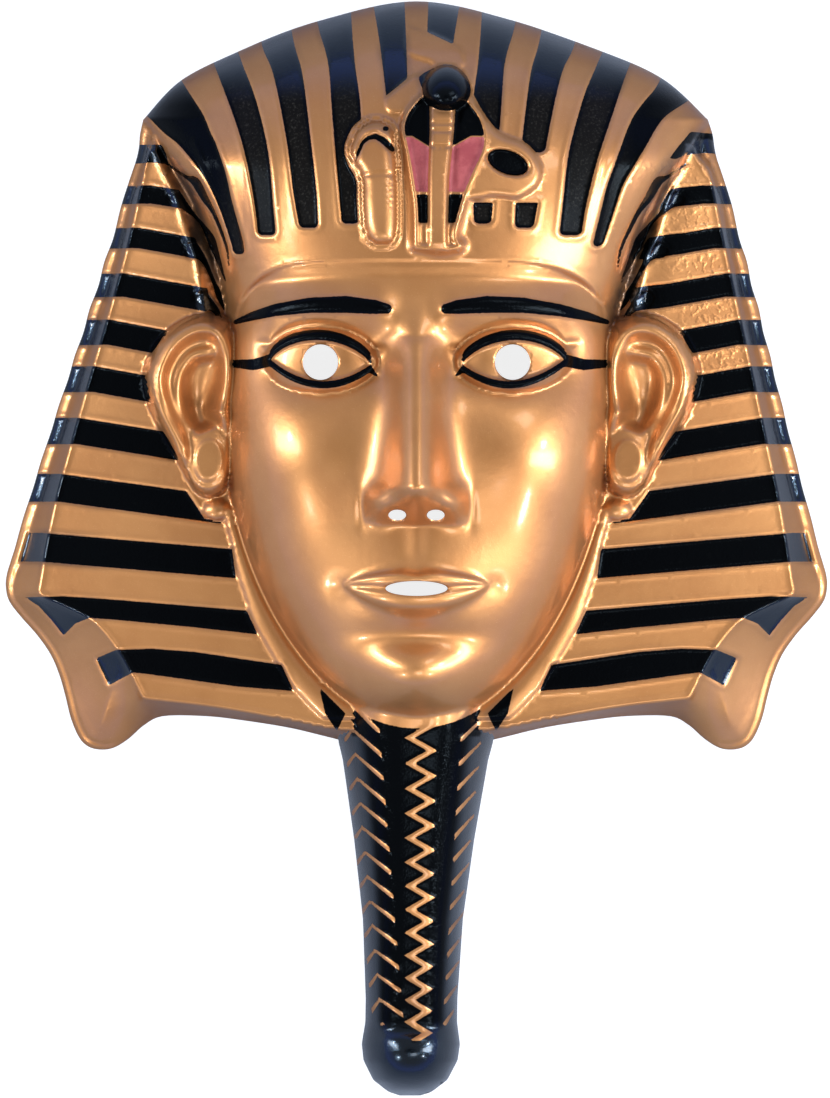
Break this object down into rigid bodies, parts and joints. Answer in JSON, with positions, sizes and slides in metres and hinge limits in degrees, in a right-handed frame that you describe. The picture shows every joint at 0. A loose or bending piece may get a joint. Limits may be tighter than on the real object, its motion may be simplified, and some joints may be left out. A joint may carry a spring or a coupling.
{
  "type": "pharaoh costume mask",
  "caption": "Thin formed plastic face mask with a striped headcloth, brow ornament, ears and a long false beard; it lies face up on its rim and a face goes in from behind.",
  "frame": {"origin": "bottom centre of the bounding box, in the plane of the rim, under the middle of the mask", "axes": "+Y is up the face, from the beard's end to the crown; +Z is out of the face; +X is to the right of someone who looks at the face"},
  "size_m": [0.2794, 0.372, 0.1006],
  "materials": {
    "painted_shell": "thin formed plastic sheet, sprayed satin gold, with gloss black bars"
  },
  "bodies": {
    "root": {"mask_shell": "painted_shell"}
  },
  "joints": []
}
